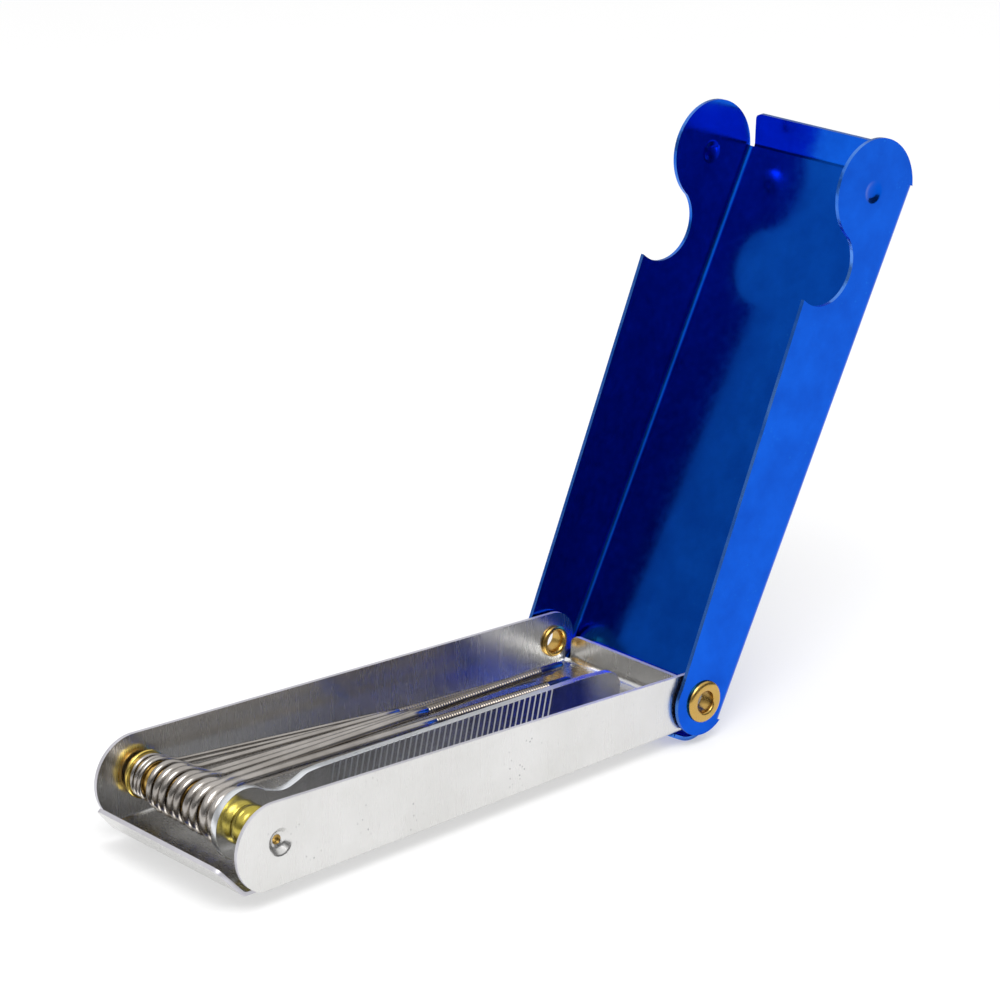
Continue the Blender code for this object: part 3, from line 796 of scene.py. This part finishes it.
def wire_path(diameter, middle, turns, start_y, start_z, tip_y, tip_z):
    """Centre line of a round file from the pin axis, with the point where the shank begins and the tip."""
    radius = LOOP_BORE_R + diameter / 2 + 0.02
    pitch = diameter + COIL_GAP
    sweep = SINGLE_LOOP if turns == 1 else DOUBLE_LOOP
    slope = (tip_z - start_z) / FILE_REACH
    leave = 90.0 - (radius - start_z) * EXIT_TURN / radius
    steps = round(TURN_STEPS * sweep / 360.0)
    side = 0 if turns == 1 else math.copysign(1, start_y - middle)
    points = []
    for i in range(steps + 1):
        share = i / steps
        angle = math.radians(leave + sweep * (1 - share))
        offset = (share - 0.5) * pitch * sweep / 360.0 * side
        points.append(Vector((radius * math.cos(angle), middle + offset, radius * math.sin(angle))))
    exit_way = Vector((math.sin(math.radians(leave)), 0, -math.cos(math.radians(leave))))
    shank_way = Vector((1, (tip_y - start_y) / FILE_REACH, slope)).normalized()
    last = points[-1]
    join_x = last.x + EXIT_REACH
    join = Vector((join_x, start_y + shank_way.y / shank_way.x * join_x, start_z + slope * join_x))
    span = (join - last).length
    for i in range(1, EXIT_STEPS + 1):
        t = i / EXIT_STEPS
        points.append(
            (1 - t) ** 3 * last
            + 3 * t * (1 - t) ** 2 * (last + exit_way * span * EXIT_PULL)
            + 3 * t**2 * (1 - t) * (join - shank_way * span * EXIT_PULL)
            + t**3 * join
        )
    return points, join, Vector((FILE_REACH, tip_y, tip_z))


def build_round_file(index, wire, surface):
    """A wire swept along its path, with a thread-like file cut and a thinner plain tip."""
    diameter = wire[0]
    points, join, tip = wire_path(*wire)
    length = (tip - join).length
    cut_from, cut_to = length * SERRATION_START, length * SERRATION_END
    places = [cut_from * i / 12 for i in range(1, 13)]
    count = round((cut_to - cut_from) * SERRATION_STATIONS / SERRATION_PITCH)
    places += [cut_from + (cut_to - cut_from) * i / count for i in range(1, count + 1)]
    places += [cut_to + 0.15, cut_to + 0.4]
    places += [length - diameter * share for share in (TIP_ROUND, 0.2, 0.06, 0.0)]
    stations = [(p, None) for p in points]
    stations += [(join + (tip - join) * (s / length), s) for s in places]
    out = bmesh.new()
    rings = []
    side = Vector((0, 1, 0))
    for i, (point, along) in enumerate(stations):
        way = (stations[min(i + 1, len(stations) - 1)][0] - stations[max(i - 1, 0)][0]).normalized()
        across = (side - way * side.dot(way)).normalized()
        up = way.cross(across)
        size = 1.0
        if i == 0:
            size = 0.82
        if along is not None and along > cut_to + 0.1:
            size = PLAIN_TIP
            left = (length - along) / (diameter * TIP_ROUND)
            if left < 1:
                size *= math.sqrt(max(1 - (1 - left) ** 2, 0.12))
        ring = []
        for k in range(WIRE_SIDES):
            angle = 2 * math.pi * (k + 0.5) / WIRE_SIDES
            reach = diameter / 2 * size
            if along is not None and cut_from < along <= cut_to + 0.01:
                phase = (along / SERRATION_PITCH + k / WIRE_SIDES) % 1.0
                reach *= 1 - SERRATION_DEPTH * min(1.0, 2.4 * abs(phase - 0.5))
            ring.append(out.verts.new(point + (across * math.cos(angle) + up * math.sin(angle)) * reach))
        rings.append(ring)
    for one, two in zip(rings, rings[1:]):
        for k in range(WIRE_SIDES):
            j = (k + 1) % WIRE_SIDES
            out.faces.new((one[k], one[j], two[j], two[k]))
    out.faces.new(rings[0])
    out.faces.new(rings[-1])
    name = f"round_file_{index}"
    mesh = mesh_from(out, [surface])
    return finished(f"{name}_wire", mesh, at(PIN), [name], name, 60, False)


# ---------------------------------------------------------------- setting


def make_floor():
    out = bmesh.new()
    corners = ((-1, -1), (1, -1), (1, 1), (-1, 1))
    out.faces.new([out.verts.new((x * FLOOR_REACH, y * FLOOR_REACH, 0)) for x, y in corners])
    mesh = bpy.data.meshes.new("floor")
    out.to_mesh(mesh)
    out.free()
    mesh.materials.append(floor_surface())
    made = bpy.data.objects.new("floor", mesh)
    made.location.z = -FLOOR_GAP
    bpy.context.scene.collection.objects.link(made)


def make_world():
    """A bright ceiling over a dim room, a little lighter at the back than behind the viewer."""
    world = bpy.data.worlds.new("studio")
    bpy.context.scene.world = world
    world.use_nodes = True
    tree = world.node_tree
    link = tree.links.new
    way = node(tree, "ShaderNodeTexCoord")
    split = node(tree, "ShaderNodeSeparateXYZ")
    link(way.outputs["Generated"], split.inputs["Vector"])
    room = node(tree, "ShaderNodeMapRange")
    for key, value in zip(("From Min", "From Max", "To Min", "To Max"), ROOM_ALONG_Y + ROOM_LIGHT):
        room.inputs[key].default_value = value
    link(split.outputs["Y"], room.inputs["Value"])
    height = node(tree, "ShaderNodeMapRange", interpolation_type="SMOOTHSTEP")
    for key, value in zip(("From Min", "From Max"), CEILING_HEIGHT):
        height.inputs[key].default_value = value
    link(split.outputs["Z"], height.inputs["Value"])
    light = node(tree, "ShaderNodeMix", data_type="FLOAT")
    link(height.outputs["Result"], light.inputs["Factor"])
    link(room.outputs["Result"], light.inputs["A"])
    light.inputs["B"].default_value = CEILING_LIGHT
    background = tree.nodes["Background"]
    background.inputs["Color"].default_value = (1.0, 1.0, 1.0, 1.0)
    link(light.outputs["Result"], background.inputs["Strength"])


def make_lights():
    make_world()
    for name, place, size, power in LAMPS:
        data = bpy.data.lights.new(name, "AREA")
        data.shape = "SQUARE"
        data.size = size
        data.energy = power
        made = bpy.data.objects.new(name, data)
        made.location = place
        made.rotation_euler = (Vector((0, 0, 0.02)) - Vector(place)).to_track_quat("-Z", "Y").to_euler()
        bpy.context.scene.collection.objects.link(made)
    bpy.context.scene.view_settings.view_transform = "Standard"


def make_camera():
    data = bpy.data.cameras.new("camera")
    made = bpy.data.objects.new("camera", data)
    bpy.context.scene.collection.objects.link(made)
    az, el, roll = (math.radians(v) for v in (CAMERA_AZIMUTH, CAMERA_ELEVATION, CAMERA_ROLL))
    back = Vector((math.sin(az) * math.cos(el), -math.cos(az) * math.cos(el), math.sin(el)))
    right = Vector((math.cos(az), math.sin(az), 0.0))
    up = back.cross(right)
    turned_right = right * math.cos(roll) + up * math.sin(roll)
    turned_up = up * math.cos(roll) - right * math.sin(roll)
    place = Matrix((turned_right, turned_up, back)).transposed().to_4x4()
    place.translation = (CAMERA_PLACE + CASE) * MM
    made.matrix_world = place
    data.lens = CAMERA_LENS
    data.sensor_width = 36.0
    data.clip_start = 0.01
    data.clip_end = 20.0
    bpy.context.scene.camera = made


def main():
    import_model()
    make_camera()
    make_floor()
    make_lights()

    drawn = (150.0, 900.0, 900.0)
    upright = (2600.0, 900.0, 120.0)
    even = (1500.0, 1500.0, 1500.0)
    ringed = (900.0, 6000.0, 900.0)
    tray = metal(
        "tray_aluminium", ((0.66, 0.655, 0.64), (0.72, 0.715, 0.705)), (0.21, 0.30), upright, 0.03, specks=0.6
    )
    tray_edge = metal(
        "tray_cut_edge", ((0.52, 0.51, 0.55), (0.64, 0.63, 0.68)), (0.34, 0.48), drawn, 0.2, metallic=0.55
    )
    lid = metal(
        "lid_anodised",
        ((0.0015, 0.078, 0.56), (0.003, 0.105, 0.69)),
        (0.11, 0.21),
        (900.0, 900.0, 900.0),
        0.08,
        blotch=200.0,
        specks=0.3,
        speck_colour=(0.02, 0.22, 0.8),
    )
    # The lid's cut edges are painted a paler, brighter blue than the lid: a painted highlight along them.
    lid_edge_highlight = metal("lid_cut_edge_painted_highlight", ((0.01, 0.12, 0.62), (0.10, 0.28, 0.80)), (0.2, 0.35), drawn, 0.2)
    build_tray([tray, tray_edge])
    build_lid([lid, lid_edge_highlight])

    brass = ((0.46, 0.28, 0.065), (0.64, 0.42, 0.125))
    for name, sign in (("eyelet_near", -1), ("eyelet_far", 1)):
        build_eyelet(name, sign, metal(f"{name}_metal", brass, (0.18, 0.32), even, 0.15))
    build_pin(metal("pin_metal", brass, (0.18, 0.32), ringed, 0.2))
    # The two sleeves are the same brass, given a darker olive tone on the near one as painted shade and a
    # brighter one on the far one as painted light.
    near_sleeve_shaded_brass = ((0.44, 0.36, 0.06), (0.60, 0.50, 0.12))
    build_sleeve("sleeve_near", SLEEVE_NEAR, metal("sleeve_near_metal", near_sleeve_shaded_brass, (0.18, 0.30), ringed, 0.2))
    far_sleeve_lit_brass = ((0.66, 0.48, 0.10), (0.84, 0.64, 0.18))
    build_sleeve("sleeve_far", SLEEVE_FAR, metal("sleeve_far_metal", far_sleeve_lit_brass, (0.14, 0.26), ringed, 0.2))

    # The flat file's face is multiplied darker and navy along the blade, back to plain at the bent tip: a
    # painted reflection of the blue lid.
    painted_lid_reflection = (
        (-0.046, (1.0, 1.0, 1.0)),
        (-0.038, (0.85, 0.86, 0.89)),
        (-0.018, (0.55, 0.57, 0.66)),
        (-0.006, (0.24, 0.27, 0.50)),
        (0.0045, (0.17, 0.21, 0.48)),
        (0.0075, (1.0, 1.0, 1.0)),
    )
    pale = ((0.82, 0.82, 0.82), (1.0, 1.0, 1.0))
    flat = metal("flat_file_face", pale, (0.12, 0.24), drawn, 0.1, tone_and_reflection=painted_lid_reflection)
    ridges = ((-0.036, (0.35, 0.36, 0.38)), (-0.018, (0.55, 0.56, 0.60)), (-0.002, (1.0, 1.0, 1.0)))
    white = ((0.86, 0.87, 0.89), (0.95, 0.95, 0.97))
    teeth = metal("flat_file_teeth", white, (0.5, 0.65), drawn, 0.3, tone_and_reflection=ridges, metallic=0.8)
    flat_edge = metal("flat_file_edge", ((0.70, 0.72, 0.75), (0.84, 0.86, 0.89)), (0.22, 0.36), drawn, 0.2)
    build_flat_file([flat, teeth, flat_edge])
    steel = ((0.32, 0.295, 0.27), (0.48, 0.45, 0.42))
    bright, dark = (1.0, 1.0, 1.0), (0.62, 0.59, 0.55)
    filed = ((-0.0140, bright), (-0.0128, dark), (0.0058, dark), (0.0070, (0.5, 0.48, 0.46)))
    for i, wire in enumerate(ROUND_FILES):
        name = f"round_file_{i + 1}_steel"
        surface = metal(name, steel, (0.16, 0.30), (260.0, 2400.0, 2400.0), 0.2, tone_and_reflection=filed)
        build_round_file(i + 1, wire, surface)


main()
